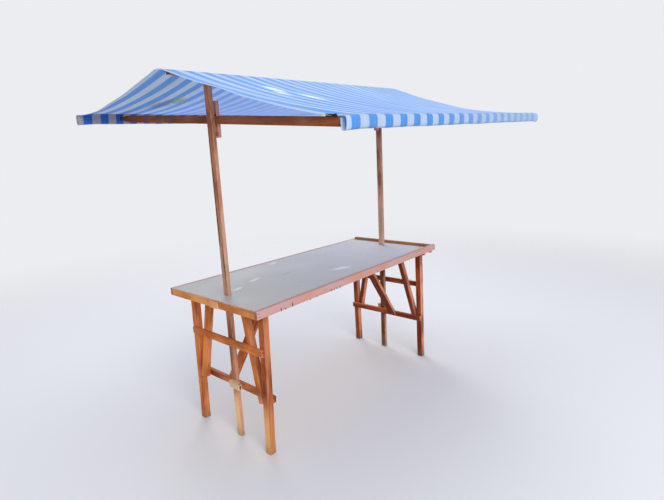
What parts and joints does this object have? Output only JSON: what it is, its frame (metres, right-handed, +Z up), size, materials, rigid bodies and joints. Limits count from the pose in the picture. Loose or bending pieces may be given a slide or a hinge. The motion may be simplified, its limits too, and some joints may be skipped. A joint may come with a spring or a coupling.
{
  "type": "wooden market stall",
  "caption": "Open wooden trestle-table market stall with two masts, crossbars and a striped blue and white cloth roof.",
  "frame": {"origin": "on the ground, under the middle of the stall's outer reach", "axes": "+X along the table towards the end with the raised lip, -Y towards the customers, +Z up"},
  "size_m": [2.4038, 1.8008, 1.933],
  "materials": {
    "trestle_timber": "rough sawn, fresh orange-brown",
    "table_timber": "rough sawn, pale pinkish brown",
    "mast_timber": "rough sawn, brown",
    "pole_timber": "rough, brown",
    "fresh_timber": "fresh cut, light",
    "dark_timber": "rough sawn, dark",
    "top_sheet": "thin board painted pale grey, matt, scuffed",
    "striped_cloth": "blue and white striped woven plastic cloth",
    "pin_steel": "dull dark steel"
  },
  "bodies": {
    "root": {"back_eave_pole": "pole_timber", "back_table_rail": "table_timber", "cloth_roof": "striped_cloth", "front_eave_pole": "pole_timber", "front_table_rail": "table_timber", "left_back_diagonal": "trestle_timber", "left_back_leg": "trestle_timber", "left_brace": "trestle_timber", "left_cross_batten": "table_timber", "left_crossbar": "mast_timber", "left_crossbar_pin": "pin_steel", "left_end_block": "fresh_timber", "left_end_rail": "table_timber", "left_front_diagonal": "trestle_timber", "left_front_leg": "trestle_timber", "left_lower_rail": "trestle_timber", "left_mast": "mast_timber", "left_mast_block": "fresh_timber", "left_mast_cleat": "mast_timber", "left_top_rail": "trestle_timber", "left_upper_rail": "trestle_timber", "ridge_pole": "pole_timber", "right_back_diagonal": "trestle_timber", "right_back_leg": "trestle_timber", "right_brace": "trestle_timber", "right_cross_batten": "table_timber", "right_crossbar": "mast_timber", "right_crossbar_pin": "pin_steel", "right_end_lip": "dark_timber", "right_end_rail": "table_timber", "right_front_diagonal": "trestle_timber", "right_front_leg": "trestle_timber", "right_lower_rail": "trestle_timber", "right_mast": "mast_timber", "right_mast_block": "fresh_timber", "right_mast_cleat": "mast_timber", "right_top_rail": "trestle_timber", "right_upper_rail": "trestle_timber", "table_top_sheet": "top_sheet"}
  },
  "joints": []
}
